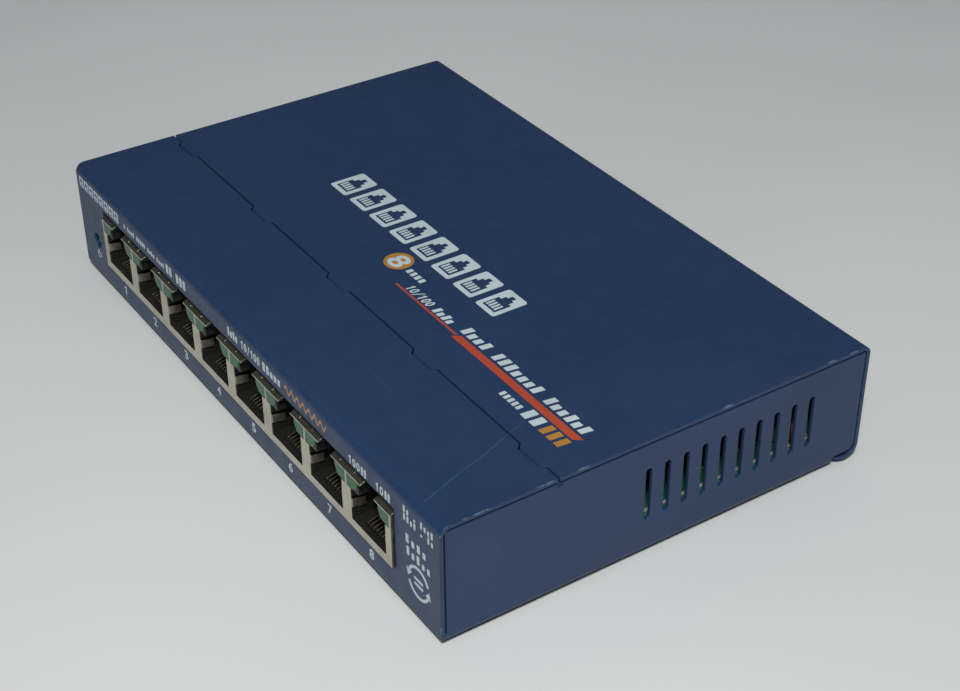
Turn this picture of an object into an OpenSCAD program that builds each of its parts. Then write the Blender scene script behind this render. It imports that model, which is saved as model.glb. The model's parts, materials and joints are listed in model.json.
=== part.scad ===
// Eight-port desktop network switch in a folded sheet-metal case.
// +X runs along the front from port 1 to port 8, +Y to the rear, +Z up.
// The origin is under the middle of the whole footprint, on the surface it stands on.

/* [Case] */
// Width of the case
case_w = 158; // [156:1:166]
// Depth of the case, front panel to rear wall
case_d = 101; // [100:1:112]
// Height of the case without its feet
case_h = 27; // [27:0.5:32]
// Thickness of the folded sheet
sheet_t = 0.8; // [0.8:0.1:1.1]
// Outer radius of the bend between the front panel and the top
front_bend_r = 2.2; // [1.6:0.1:3]
// Outer radius of the bends along the bottom
bottom_bend_r = 1.6; // [1.3:0.1:2]
// Outer radius of the cover's upper rear bend
back_bend_r = 1.8; // [1.2:0.1:2]
// Outer radius of the cover's lower rear bend
back_low_r = 3; // [2.5:0.25:3.5]
// Depth of the front strip of the top, as far as the seam with the cover
strip_d = 25.2; // [24:0.2:28]
// Open gap at every seam between two sheets
seam_gap = 0.4; // [0.2:0.05:0.4]
// Open gap between a side wall and the edges of the cover
rim_gap = 0.45; // [0.3:0.05:0.5]
// Length of the cover's lip under the case
lip_d = 6.5; // [5:0.5:9]

/* [Vents] */
// Vent slots in each side wall
vent_count = 10; // [4:1:10]
// Distance from one vent slot to the next
vent_pitch = 4.48; // [3:0.02:4.6]
// Width of a vent slot
vent_w = 1.5; // [1:0.1:2]
// Length of a vent slot, round ends included
vent_h = 12.1; // [8:0.1:14]
// First vent slot's centre, behind the front panel
vent_first = 46.1; // [44:0.1:48]
// Middle of the vent slots, above the case bottom
vent_mid = 14.15; // [13:0.05:15]

/* [Ports] */
// Distance from one port to the next
port_pitch = 15.9; // [15.7:0.05:15.95]
// Height of the jack block
jack_h = 13.1; // [13:0.1:13.4]
// Depth of the jack block
jack_d = 21; // [20:0.5:22]
// How far the jack block stands out of the front panel
jack_proud = 0.6; // [0.4:0.1:1]
// Middle of the row of ports, to the right of the case's middle
jack_shift = -0.6; // [-1:0.1:1]
// Width of a port's plug opening
port_w = 12.5; // [12:0.1:12.6]

/* [Board] */
// Thickness of the circuit board
board_t = 1.6; // [1.2:0.2:1.6]
// Height of the board's top face above the case bottom
board_top = 7.1; // [6.9:0.1:7.2]

/* [Feet] */
// Radius of a rubber foot
foot_r = 5; // [4:0.5:6]
// Height of a rubber foot
foot_h = 1.0; // [0.6:0.1:2]

/* [Power inlet] */
// Middle of the power inlet, to the right of the case's middle
inlet_x = 50; // [44:1:52]
// Radius of the centre pin
inlet_pin_r = 1.05; // [1:0.05:1.25]

/* [Hidden] */
$fn = 48;

eps = 0.01;
half_w = case_w / 2;

// Cover screws: M3, one near each rear corner
screw_head_h = 1.5;
screw_head_r = 2.75;
screw_r = 1.48;
screw_len = 6;
screw_in = 6;
screw_up = 14;

// The footprint runs from the jack's face to the screw heads, with the origin in its middle
front_y = jack_proud - (case_d + jack_proud + screw_head_h) / 2;
back_y = front_y + case_d;
case_z = foot_h;
top_z = case_z + case_h;

// Tongues of the cover, which pass under the front strip
tongue_x = [-70.8, -34, 0, 34, 70.8];
tongue_w = 5.4;
tongue_len = 6;
tongue_drop = sheet_t + 0.15;
tongue_flat = 0.7;
notch_w = 6.2;
notch_d = 1.1;
seam_corner_r = 0.3;
lip_corner_r = 3.5;

// Side walls, folded up from the bottom
wall_low = bottom_bend_r + seam_gap;
wall_corner_r = 2;
tray_back = back_y - lip_d - seam_gap;
flange_w = 11;
flange_low = 5;
flange_h = 18;

// Jack block
port_count = 8;
jack_side = 0.3;
jack_w = port_count * port_pitch + 2 * jack_side;
jack_y = front_y - jack_proud;
jack_z = case_z + board_top;
shield_t = 0.3;
slope_d = 1.6;
slope_h = 0.7;
jack_clear = 0.05;
port_low = 1.9;
port_h = 7.3;
lamp_low = port_low + port_h;
lamp_top = jack_h - 1;
post_w = 0.6;
latch_w = 4.8;
latch_cut = 2.2;
latch_room = 7.6;
cavity_d = 13;
lamp_w = 3.9;
lamp_d = 2.6;
lamp_corner_r = 2.4;
lamp_clear = 0.05;
finger_w = 4.1;
finger_slot = 0.8;
finger_len = 5;
tab_h = 2;
tab_len = 2.8;
tab_low = 4.6;
tab_angle = 9;
window_gap_side = 0.35;
window_gap_low = 0.2;
window_gap_top = 0.9;

// Spring contacts: round wire, eight to a port
wire_r = 0.2;
wire_count = 8;
wire_pitch = 1.02;
wire_bend_r = 0.7;
wire_y = jack_y + 2.4;
wire_z = jack_z + 1.2;
wire_rise = 18;
wire_arm = 9;
wire_root = 5;
wire_gap = 0.06;
wire_tail = 1;
wire_slot_w = 0.62;
wire_slot_low = 0.15;

// Power lamp behind its hole in the front panel
lamp_x = -70.7;
lamp_z = case_z + 10.4;
lamp_hole_r = 1.9;
lamp_r = 1.5;
lamp_in = 0.4;

// Circuit board, clear of the front panel and of the rear flanges
board_z = case_z + board_top;
board_w = case_w - 2 * sheet_t - 1.6;
board_front = front_y + sheet_t + 0.5;
board_back = back_y - 2 * sheet_t - seam_gap - 0.9;
board_hole_r = 1.6;
fix_x = 70;
fix_y = [front_y + 27, back_y - 26];
standoff_r = 2.7;
insulator_t = 0.2;
shank_r = 1.95;
thread_r = 1.25;

foot_in = 13;

// Power inlet
inlet_w = 9;
inlet_h = 11;
inlet_d = 14;
inlet_out = 0.4;
inlet_bore_r = 3.15;
inlet_bore_d = 9.5;
inlet_up = 6.2;
inlet_gap = 0.4;

// Parts on the board, by the middle of each
chip_at = [-4, front_y + 63];
chip_w = 20;
chip_h = 3;
chip_up = 0.3;
chip_side_pins = 20;
chip_pin_pitch = 0.8;
pad_t = 0.3;
sink_w = 22;
sink_fins = 7;
transformer_w = 27;
transformer_d = 10;
transformer_h = 5.8;
transformer_y = jack_y + jack_d + 9;
transformer_pin_count = 12;
transformer_pin_pitch = 2;
capacitor_at = [[34, back_y - 14, 4, 10.5], [24.5, back_y - 13, 4, 10.5], [31, back_y - 26, 3.15, 8]];
choke_at = [71, front_y + 85];
choke_r = 4.4;
choke_thick = 2.2;
choke_h = 3.6;
choke_up = 0.95;
winding_clear = 0.1;
choke_wire_r = 0.45;
choke_turns = 14;

navy = [0.09, 0.13, 0.25];
tin = [0.62, 0.6, 0.53];
black = [0.04, 0.04, 0.045];
steel = [0.6, 0.61, 0.63];
gold = [0.8, 0.62, 0.26];
lamp_green = [0.16, 0.42, 0.24];

function port_x(i) = jack_shift + (i - (port_count + 1) / 2) * port_pitch;
function transformer_x(i) = jack_shift + (i - 2.5) * 2 * port_pitch;

// Sweeps a (y, z) outline along X, centred
module along_x(len) { rotate([90, 0, 90]) linear_extrude(len, center = true) children(); }

// Sweeps an (x, z) outline from y0 to y1
module along_y(y0, y1) { translate([0, y1, 0]) rotate([90, 0, 0]) linear_extrude(y1 - y0) children(); }

// The same sweep, centred on x
module along_x_at(x, len) { translate([x, 0, 0]) along_x(len) children(); }

// A quarter of a bent sheet about the origin, in the quadrant that sx and sy point to
module bend(r, sx, sy) {
    intersection() {
        difference() { circle(r); circle(r - sheet_t); }
        translate([sx > 0 ? 0 : -r, sy > 0 ? 0 : -r]) square(r);
    }
}

// A box between two corners
module block(a, b) { translate(a) cube(b - a); }

// A slot with round ends, its length along Y
module slot(w, len) {
    square([w, len - w], center = true);
    for (s = [-1, 1]) translate([0, s * (len - w) / 2]) circle(w / 2);
}

// A pan head with a cross recess, its seat at z = 0 and its shank below
module pan_screw(head_r, head_h, r, len) {
    difference() {
        union() {
            rotate_extrude() intersection() {
                union() {
                    square([head_r, head_h * 0.45]);
                    translate([0, head_h * 0.45]) dome_profile(head_r, head_h * 0.55);
                }
                square([head_r, head_h]);
            }
            translate([0, 0, -len]) cylinder(r = r, h = len);
        }
        for (a = [0, 90]) rotate(a) translate([-head_r * 0.55, -head_r * 0.1, head_h * 0.45])
            cube([head_r * 1.1, head_r * 0.2, head_h]);
    }
}

// The domed part of a head: the arc of a large circle that falls to zero at radius r
module dome_profile(r, h) {
    big = (r * r + h * h) / (2 * h);
    intersection() {
        translate([0, h - big]) circle(big, $fn = 96);
        square([r, h]);
    }
}

// Side view of the sheet that makes the front panel and the strip above it
module front_sheet_outline() {
    fb = front_bend_r;
    bb = bottom_bend_r;
    translate([front_y + bb, case_z + bb]) bend(bb, -1, -1);
    translate([front_y, case_z + bb]) square([sheet_t, case_h - fb - bb]);
    translate([front_y + fb, top_z - fb]) bend(fb, -1, 1);
    translate([front_y + fb, top_z - sheet_t]) square([strip_d - fb, sheet_t]);
}

// The case from the front, its lower corners rounded like the bends there
module front_silhouette() {
    b = bottom_bend_r;
    translate([-half_w, case_z + b]) square([case_w, case_h - b]);
    translate([b - half_w, case_z]) square([case_w - 2 * b, case_h]);
    for (s = [-1, 1]) translate([s * (half_w - b), case_z + b]) circle(b);
}

// The tray from the side, its front lower edge rounded like the bend there
module tray_silhouette() {
    b = bottom_bend_r;
    translate([front_y + b, case_z]) square([tray_back - front_y - b, wall_low + eps]);
    translate([front_y + b, case_z + b]) circle(b);
}

// Front view of the bottom and the bends that join it to the side walls
module tray_outline() {
    b = bottom_bend_r;
    translate([-half_w + b, case_z]) square([case_w - 2 * b, sheet_t]);
    for (s = [-1, 1]) {
        translate([s * (half_w - b), case_z + b]) bend(b, s, -1);
        translate([s > 0 ? half_w - sheet_t : -half_w, case_z + b]) square([sheet_t, seam_gap + eps]);
    }
}

// A square corner with a quarter round cut out of it, for rounding a sheet's corner off.
// The corner is at the origin, and the sheet lies towards sx and sy.
module corner_outline(r, sx, sy) {
    difference() {
        translate([sx > 0 ? -1 : -r, sy > 0 ? -1 : -r]) square(r + 1);
        translate([sx * r, sy * r]) circle(r);
    }
}

module corner_cut(r, sx, sy) {
    linear_extrude(4, center = true) corner_outline(r, sx, sy);
}

// A side wall with the flange at its rear end that takes the cover screw
module side_wall(s) {
    x0 = s > 0 ? half_w - sheet_t : -half_w;
    y0 = front_y + sheet_t + seam_gap;
    y1 = back_y - sheet_t - rim_gap;
    z0 = case_z + wall_low;
    difference() {
        block([x0, y0, z0], [x0 + sheet_t, y1, top_z - sheet_t - rim_gap]);
        translate([0, y1, z0]) along_x(case_w + 2) corner_outline(wall_corner_r, -1, 1);
    }
    translate([s > 0 ? half_w - flange_w : -half_w, y1 - sheet_t, case_z + flange_low])
        cube([flange_w, sheet_t, flange_h]);
}

module vents() {
    for (i = [0 : vent_count - 1])
        translate([0, front_y + vent_first + i * vent_pitch, case_z + vent_mid])
            rotate([90, 0, 90]) linear_extrude(case_w + 2, center = true) slot(vent_w, vent_h);
}

module standoff_places() {
    for (x = [-fix_x, fix_x], y = fix_y) translate([x, y, 0]) children();
}

module cover_screw_places() {
    for (s = [-1, 1]) translate([s * (half_w - screw_in), back_y, case_z + screw_up])
        rotate([-90, 0, 0]) children();
}

// The front panel's opening for the jack block
module panel_window() {
    w = jack_w + 2 * window_gap_side;
    translate([jack_shift - w / 2, jack_z - window_gap_low])
        square([w, jack_h + window_gap_low + window_gap_top]);
}

// Plan of a notch in the strip's edge, with slanted sides
module notch_plan() {
    w = notch_w / 2;
    y = front_y + strip_d - notch_d;
    flare = notch_d + 1;
    polygon([[-w, y], [w, y], [w + flare, y + flare], [-w - flare, y + flare]]);
}

// Plan of the tongue that passes through the notch
module tongue_plan() {
    w = tongue_w / 2;
    y = front_y + strip_d - notch_d;
    flare = notch_d + 1;
    polygon([[-w, y - 2 * tongue_len], [w, y - 2 * tongue_len], [w, y], [w + flare, y + flare],
             [-w - flare, y + flare], [-w, y]]);
}

module chassis_base() {
    color(navy) difference() {
        union() {
            intersection() {
                along_x(case_w) front_sheet_outline();
                along_y(front_y, front_y + strip_d) front_silhouette();
            }
            intersection() {
                along_y(front_y + sheet_t, tray_back) tray_outline();
                along_x(case_w) tray_silhouette();
            }
            for (s = [-1, 1]) side_wall(s);
        }
        along_y(front_y - 1, front_y + sheet_t + 1) panel_window();
        translate([lamp_x, front_y - 1, lamp_z]) rotate([-90, 0, 0])
            cylinder(r = lamp_hole_r, h = sheet_t + 2);
        vents();
        for (x = tongue_x) translate([x, 0, top_z - 2]) linear_extrude(3) notch_plan();
        for (s = [-1, 1]) translate([s * half_w, front_y + strip_d, top_z]) corner_cut(seam_corner_r, -s, -1);
        standoff_places() translate([0, 0, case_z - 1]) cylinder(r = shank_r, h = sheet_t + 2);
        cover_screw_places() translate([0, 0, -5]) cylinder(r = 1.5, h = 5);
    }
}

// Side view of the cover: its top, rear wall and lip
module cover_outline() {
    hi = back_bend_r;
    lo = back_low_r;
    seam_y = front_y + strip_d + seam_gap;
    translate([seam_y, top_z - sheet_t]) square([back_y - hi - seam_y, sheet_t]);
    translate([back_y - hi, top_z - hi]) bend(hi, 1, 1);
    translate([back_y - sheet_t, case_z + lo]) square([sheet_t, case_h - hi - lo]);
    translate([back_y - lo, case_z + lo]) bend(lo, 1, -1);
    translate([back_y - lip_d, case_z]) square([lip_d - lo, sheet_t]);
}

// Side view of a tongue: a flush root, a short joggle down, then a flat tip under the strip
module tongue_outline() {
    y = front_y + strip_d + seam_gap;
    ramp = notch_d + seam_gap;
    low = top_z - tongue_drop;
    inner = sheet_t * tan(atan2(tongue_drop, ramp - tongue_flat) / 2);
    polygon([[y + eps, top_z], [y - tongue_flat, top_z], [y - ramp, low], [y - ramp - tongue_len, low],
             [y - ramp - tongue_len, low - sheet_t], [y - ramp + inner, low - sheet_t],
             [y - tongue_flat + inner, top_z - sheet_t], [y + eps, top_z - sheet_t]]);
}

module top_cover() {
    color(navy) difference() {
        union() {
            along_x(case_w) cover_outline();
            for (x = tongue_x) translate([x, 0, 0]) intersection() {
                along_x(tongue_w + 4 * notch_d + 4) tongue_outline();
                linear_extrude(top_z + 1) tongue_plan();
            }
        }
        for (s = [-1, 1]) {
            translate([s * half_w, front_y + strip_d + seam_gap, top_z]) corner_cut(seam_corner_r, -s, 1);
            translate([s * half_w, back_y - lip_d, case_z]) corner_cut(lip_corner_r, -s, 1);
        }
        cover_screw_places() translate([0, 0, -2]) cylinder(r = 1.7, h = 4);
        block([inlet_x - inlet_w / 2 - inlet_gap, back_y - 2, board_z - inlet_gap],
              [inlet_x + inlet_w / 2 + inlet_gap, back_y + 1, board_z + inlet_h + inlet_gap]);
    }
}

module cover_screws() {
    color(steel) cover_screw_places() pan_screw(screw_head_r, screw_head_h, screw_r, screw_len);
}

module rubber_foot(sx, sy) {
    x = sx * (half_w - foot_in);
    y = sy > 0 ? back_y - lip_d - seam_gap - foot_r - 3 : front_y + foot_in;
    color(black) translate([x, y, 0]) rotate_extrude()
        polygon([[0, 0], [foot_r - 0.9, 0], [foot_r - 0.3, 0.3], [foot_r, foot_h], [0, foot_h]]);
}

module rating_label() {
    color("gainsboro") block([-32, front_y + 32, case_z - 0.12], [32, front_y + 66, case_z]);
}

module insulator_sheet() {
    color("dimgray") difference() {
        block([-board_w / 2 + 2, board_front + 4, case_z + sheet_t],
              [board_w / 2 - 2, board_back - 4, case_z + sheet_t + insulator_t]);
        standoff_places() cylinder(r = standoff_r + 0.5, h = case_z + sheet_t + 1);
    }
}

module board_standoffs() {
    color(steel) standoff_places() difference() {
        union() {
            translate([0, 0, case_z]) cylinder(r = shank_r, h = sheet_t);
            translate([0, 0, case_z + sheet_t]) cylinder(r = standoff_r, h = board_top - board_t - sheet_t);
        }
        translate([0, 0, case_z + sheet_t]) cylinder(r = thread_r, h = board_top);
    }
}

module main_board() {
    color([0.03, 0.22, 0.14]) difference() {
        block([-board_w / 2, board_front, board_z - board_t], [board_w / 2, board_back, board_z]);
        standoff_places() translate([0, 0, board_z - 3]) cylinder(r = board_hole_r, h = 6);
    }
}

module board_screws() {
    color(steel) standoff_places() translate([0, 0, board_z]) pan_screw(2.6, 1.5, thread_r - 0.02, 4.5);
}

// One port's opening in the shield's face, in (x, z) about the port's middle
module port_window() {
    translate([-port_w / 2, port_low]) square([port_w, port_h + eps]);
    translate([-(port_pitch - post_w) / 2, lamp_low]) square([port_pitch - post_w, lamp_top - lamp_low]);
    translate([-latch_w / 2, lamp_top - eps]) square([latch_w, 3]);
}

// A lamp's face: a tall window with its lower inner corner rounded off, inner edge at x = 0
module lamp_face(s, grow) {
    r = lamp_corner_r;
    w = lamp_w + grow;
    h = lamp_top - lamp_low - 2 * lamp_clear + grow;
    translate([0, lamp_low + lamp_clear]) intersection() {
        translate([s > 0 ? 0 : -w, 0]) square([w, h]);
        union() {
            translate([s > 0 ? r : -w, 0]) square([w - r, h]);
            translate([s > 0 ? 0 : -w, r]) square([w, h]);
            translate([s * r, r]) circle(r);
        }
    }
}

module both_lamps(grow) {
    edge = (port_pitch - post_w) / 2 - lamp_clear;
    for (s = [-1, 1]) translate([s * (edge - lamp_w), 0]) lamp_face(s, grow);
}

// Side view of the shield, t in from its outer faces: its top slopes down to its front face
module shield_side(t, low) {
    a = atan2(slope_h, slope_d);
    y0 = jack_y + t;
    y1 = jack_y + jack_d - t;
    z1 = jack_z + jack_h;
    polygon([[y0, low], [y0, z1 - slope_h - t * tan(45 - a / 2)], [jack_y + slope_d + t * tan(a / 2), z1 - t],
             [y1, z1 - t], [y1, low]]);
}

// Slots in a port's floor that the contacts come up through
module wire_slots() {
    for (k = [0 : wire_count - 1])
        translate([(k - (wire_count - 1) / 2) * wire_pitch - wire_slot_w / 2, wire_slot_low])
            square([wire_slot_w, port_low]);
}

module jack_housing() {
    t = shield_t + jack_clear;
    y0 = jack_y - 1;
    color(black) difference() {
        along_x_at(jack_shift, jack_w - 2 * t) shield_side(t, jack_z);
        for (i = [1 : port_count]) translate([port_x(i), 0, jack_z]) {
            along_y(y0, jack_y + cavity_d) translate([-port_w / 2, port_low]) square([port_w, port_h - 0.4]);
            along_y(y0, jack_y + cavity_d)
                translate([-latch_room / 2, lamp_low - 1]) square([latch_room, lamp_top - lamp_low + 1]);
            along_y(y0, jack_y + lamp_d) both_lamps(0.05);
            along_y(y0, jack_y + latch_cut) translate([-latch_w / 2, lamp_top - 1]) square([latch_w, 3]);
            along_y(wire_y - wire_bend_r - 0.5, wire_y + wire_root - 0.7) wire_slots();
            // Pockets that the shield's earth tabs spring into
            along_y(y0, jack_y + tab_len + 1.5)
                translate([-port_w / 2 - 0.6, tab_low - 0.4]) square([port_w + 1.2, tab_h + 0.8]);
        }
    }
}

module earth_tab(s) {
    translate([s * (port_w / 2 + 0.05), jack_y + shield_t / 2, tab_low]) rotate([0, 0, s * tab_angle])
        translate([s > 0 ? -shield_t : 0, 0, 0]) cube([shield_t, tab_len, tab_h]);
}

// Slots that free the spring fingers over each post between two ports
module finger_slots() {
    for (i = [1 : port_count - 1], s = [-1, 1]) {
        x = port_x(i) + port_pitch / 2 + s * (finger_w + finger_slot) / 2;
        translate([x - finger_slot / 2, jack_y + 0.5, jack_z + jack_h - 0.95])
            cube([finger_slot, finger_len, 1.4]);
    }
}

module jack_shield() {
    t = shield_t;
    color(tin) {
        difference() {
            along_x_at(jack_shift, jack_w) shield_side(0, jack_z);
            along_x_at(jack_shift, jack_w - 2 * t) shield_side(t, jack_z - 1);
            for (i = [1 : port_count]) translate([port_x(i), 0, jack_z]) {
                along_y(jack_y - 1, jack_y + t + eps) port_window();
                along_y(jack_y - 1, jack_y + latch_cut)
                    translate([-latch_w / 2, lamp_top]) square([latch_w, 3]);
            }
            finger_slots();
        }
        for (i = [1 : port_count], s = [-1, 1]) translate([port_x(i), 0, jack_z]) earth_tab(s);
    }
}

// Places a child at each wire of port i, in the plane x = 0
module wire_places(i) {
    for (k = [0 : wire_count - 1])
        translate([port_x(i) + (k - (wire_count - 1) / 2) * wire_pitch, 0, 0]) children();
}

// The fixed part of one contact: a solder tail, a run along its slot and the bend up into the port
module contact_root() {
    translate([0, wire_y, wire_z - wire_bend_r]) rotate([-90, 0, 0])
        cylinder(r = wire_r, h = wire_root, $fn = 16);
    translate([0, wire_y + wire_root, wire_z - wire_bend_r]) sphere(r = wire_r, $fn = 16);
    translate([0, wire_y + wire_root, board_z - board_t - wire_tail])
        cylinder(r = wire_r, h = wire_z - wire_bend_r - board_z + board_t + wire_tail, $fn = 16);
    translate([0, wire_y, wire_z]) rotate([90, 0, 90]) rotate(90 + wire_rise)
        rotate_extrude(angle = 180 - wire_rise) translate([wire_bend_r, 0]) circle(wire_r, $fn = 16);
}

// The free part of one contact: the arm that a plug presses down
module contact_arm() {
    translate([0, wire_y - wire_bend_r * sin(wire_rise), wire_z + wire_bend_r * cos(wire_rise)])
        rotate([wire_rise - 90, 0, 0]) translate([0, 0, wire_gap])
            cylinder(r = wire_r, h = wire_arm, $fn = 16);
}

module contact_roots() {
    color(gold) for (i = [1 : port_count]) wire_places(i) contact_root();
}

module port_contacts(i) {
    color(gold) wire_places(i) contact_arm();
}

module port_lamps(i) {
    color(lamp_green) translate([port_x(i), 0, jack_z])
        along_y(jack_y + lamp_clear, jack_y + lamp_d - 0.1) both_lamps(0);
}

module power_lamp() {
    y = front_y + lamp_in;
    color(lamp_green) translate([lamp_x, y, lamp_z]) rotate([-90, 0, 0]) {
        translate([0, 0, lamp_r]) sphere(r = lamp_r);
        translate([0, 0, lamp_r]) cylinder(r = lamp_r, h = 2.8);
        translate([0, 0, lamp_r + 2.8]) cylinder(r = 1.8, h = 0.9);
    }
}

module lamp_holder() {
    y = front_y + lamp_in + lamp_r + 3.7;
    color(black) block([lamp_x - 2.5, y, board_z], [lamp_x + 2.5, y + 4.5, lamp_z + 2.2]);
}

module switch_chip() {
    color(black) translate([chip_at.x, chip_at.y, board_z + chip_up]) difference() {
        translate([-chip_w / 2, -chip_w / 2, 0]) cube([chip_w, chip_w, chip_h]);
        translate([-chip_w / 2 + 2, -chip_w / 2 + 2, chip_h - 0.1]) cylinder(r = 0.7, h = 1);
    }
}

// A gull-wing pin: its top against the package at x = 0, its foot on the board
module gull_pin(w, reach, rise) {
    t = 0.15;
    rotate([90, 0, 0]) linear_extrude(w, center = true)
        polygon([[0, rise], [reach * 0.4, rise], [reach * 0.55, t], [reach, t], [reach, 0],
                 [reach * 0.45, 0], [reach * 0.3, rise - t], [0, rise - t]]);
}

module chip_pins() {
    color(steel) translate([chip_at.x, chip_at.y, board_z]) for (a = [0 : 90 : 270]) rotate(a)
        for (k = [0 : chip_side_pins - 1])
            translate([chip_w / 2, (k - (chip_side_pins - 1) / 2) * chip_pin_pitch, 0])
                gull_pin(0.35, 1.6, 1.5);
}

module thermal_pad() {
    z = board_z + chip_up + chip_h;
    color("whitesmoke") translate([chip_at.x, chip_at.y, z]) translate([-9, -9, 0]) cube([18, 18, pad_t]);
}

module heat_sink() {
    z = board_z + chip_up + chip_h + pad_t;
    color("dimgray") translate([chip_at.x, chip_at.y, z]) {
        translate([-sink_w / 2, -sink_w / 2, 0]) cube([sink_w, sink_w, 1.8]);
        for (k = [0 : sink_fins - 1])
            translate([-sink_w / 2 + k * (sink_w - 1) / (sink_fins - 1), -sink_w / 2, 0])
                cube([1, sink_w, 7]);
    }
}

module line_transformer(i) {
    color(black) translate([transformer_x(i), transformer_y, board_z + 0.25])
        translate([-transformer_w / 2, -transformer_d / 2, 0])
            cube([transformer_w, transformer_d, transformer_h]);
}

module transformer_pins() {
    n = transformer_pin_count;
    color(steel) for (i = [1 : 4], s = [-1, 1], k = [0 : n - 1]) {
        x = transformer_x(i) + (k - (n - 1) / 2) * transformer_pin_pitch;
        translate([x, transformer_y + s * transformer_d / 2, board_z]) rotate(s * 90) gull_pin(0.5, 1.8, 1.8);
    }
}

module inlet_body() {
    y1 = back_y + inlet_out;
    color(black) difference() {
        block([inlet_x - inlet_w / 2, y1 - inlet_d, board_z], [inlet_x + inlet_w / 2, y1, board_z + inlet_h]);
        translate([inlet_x, y1 - inlet_bore_d, board_z + inlet_up]) rotate([-90, 0, 0])
            cylinder(r = inlet_bore_r, h = inlet_bore_d + 1);
        // Slot under the bore for the sleeve spring
        block([inlet_x - 1.3, y1 - inlet_bore_d, board_z + 0.8],
              [inlet_x + 1.3, y1 - 0.9, board_z + inlet_up]);
    }
}

module inlet_pin() {
    y0 = back_y + inlet_out - inlet_bore_d;
    color(steel) translate([inlet_x, y0, board_z + inlet_up]) rotate([-90, 0, 0]) {
        cylinder(r = inlet_pin_r, h = inlet_bore_d - 1.6);
        translate([0, 0, inlet_bore_d - 1.6]) sphere(r = inlet_pin_r);
    }
}

// The leaf that touches the plug's sleeve, hinged at its inner end
module inlet_spring() {
    y0 = back_y + inlet_out - inlet_bore_d;
    z = board_z + inlet_up - inlet_bore_r;
    color(gold) along_x_at(inlet_x, 2) polygon([[y0 + 0.3, z - 1.1], [y0 + 4.6, z + 0.5], [y0 + 6.2, z - 0.6],
        [y0 + 6.2, z - 0.9], [y0 + 4.6, z + 0.2], [y0 + 0.3, z - 1.4]]);
}

// A can on the board with the groove that holds its seal
module capacitor(i) {
    c = capacitor_at[i - 1];
    r = c[2];
    h = c[3];
    color([0.12, 0.14, 0.3]) translate([c[0], c[1], board_z]) rotate_extrude()
        polygon([[0, 0], [r - 0.3, 0], [r, 0.4], [r, 1.3], [r - 0.35, 1.7], [r, 2.1],
                 [r, h - 0.4], [r - 0.4, h], [r - 0.9, h - 0.25], [0, h - 0.25]]);
}

module choke_core() {
    color([0.32, 0.34, 0.3]) translate([choke_at.x, choke_at.y, board_z + choke_up]) difference() {
        cylinder(r = choke_r, h = choke_h);
        translate([0, 0, -1]) cylinder(r = choke_r - choke_thick, h = choke_h + 2);
    }
}

// The winding: loops of enamelled wire round the core's section
module choke_winding() {
    c = choke_wire_r;
    w = choke_thick + 2 * winding_clear;
    h = choke_h + 2 * winding_clear;
    color([0.66, 0.33, 0.12]) translate([choke_at.x, choke_at.y, board_z + choke_up + choke_h / 2])
        for (k = [0 : choke_turns - 1]) rotate(k * 360 / choke_turns)
            translate([choke_r - choke_thick / 2, 0, 0]) difference() {
                cube([w + 2 * c, 1.2 * c, h + 2 * c], center = true);
                cube([w, 3 * c, h], center = true);
            }
}

module voltage_regulator() {
    color(black) translate([inlet_x + 8, front_y + 66, board_z]) {
        translate([-3.3, -3, 0.2]) cube([6.6, 6, 2.3]);
        translate([-2.7, 3, 0]) cube([5.4, 3, 0.6]);
        for (x = [-2.3, 0, 2.3]) translate([x - 0.4, -5.6, 0]) cube([0.8, 2.6, 0.5]);
    }
}

module crystal_can() {
    color(steel) translate([chip_at.x + 22, chip_at.y + 2, board_z]) {
        linear_extrude(0.5) rotate(90) slot(4.7, 11.4);
        translate([0, 0, 0.5]) linear_extrude(3) rotate(90) slot(4, 10.6);
    }
}

module memory_chip() {
    color(black) translate([chip_at.x - 24, chip_at.y + 4, board_z]) {
        translate([-2.5, -2, 0.15]) cube([5, 4, 1.6]);
        for (s = [-1, 1], k = [-1.5 : 1 : 1.5])
            translate([k * 1.27 - 0.2, s > 0 ? 2 : -3, 0]) cube([0.4, 1, 0.8]);
    }
}

module resistor_packs() {
    color("dimgray") for (i = [1 : 4], k = [-1, 0, 1])
        translate([transformer_x(i) + k * 7 - 1.6, transformer_y + transformer_d / 2 + 4, board_z])
            cube([3.2, 1.6, 0.6]);
}

module input_fuse() {
    color("tan") translate([inlet_x - 11, back_y - 10, board_z]) {
        cube([2.6, 6, 2.4]);
    }
}

chassis_base();
top_cover();
cover_screws();
rubber_foot(-1, -1);  // rubber_foot_front_left
rubber_foot(1, -1);  // rubber_foot_front_right
rubber_foot(-1, 1);  // rubber_foot_rear_left
rubber_foot(1, 1);  // rubber_foot_rear_right
rating_label();
insulator_sheet();
board_standoffs();
main_board();
board_screws();
jack_housing();
jack_shield();
contact_roots();
port_contacts(1);  // port_contacts_1
port_contacts(2);  // port_contacts_2
port_contacts(3);  // port_contacts_3
port_contacts(4);  // port_contacts_4
port_contacts(5);  // port_contacts_5
port_contacts(6);  // port_contacts_6
port_contacts(7);  // port_contacts_7
port_contacts(8);  // port_contacts_8
port_lamps(1);  // port_lamps_1
port_lamps(2);  // port_lamps_2
port_lamps(3);  // port_lamps_3
port_lamps(4);  // port_lamps_4
port_lamps(5);  // port_lamps_5
port_lamps(6);  // port_lamps_6
port_lamps(7);  // port_lamps_7
port_lamps(8);  // port_lamps_8
power_lamp();
lamp_holder();
switch_chip();
chip_pins();
thermal_pad();
heat_sink();
line_transformer(1);  // line_transformer_1
line_transformer(2);  // line_transformer_2
line_transformer(3);  // line_transformer_3
line_transformer(4);  // line_transformer_4
transformer_pins();
inlet_body();
inlet_pin();
inlet_spring();
capacitor(1);  // capacitor_1
capacitor(2);  // capacitor_2
capacitor(3);  // capacitor_3
choke_core();
choke_winding();
voltage_regulator();
crystal_can();
memory_chip();
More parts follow.
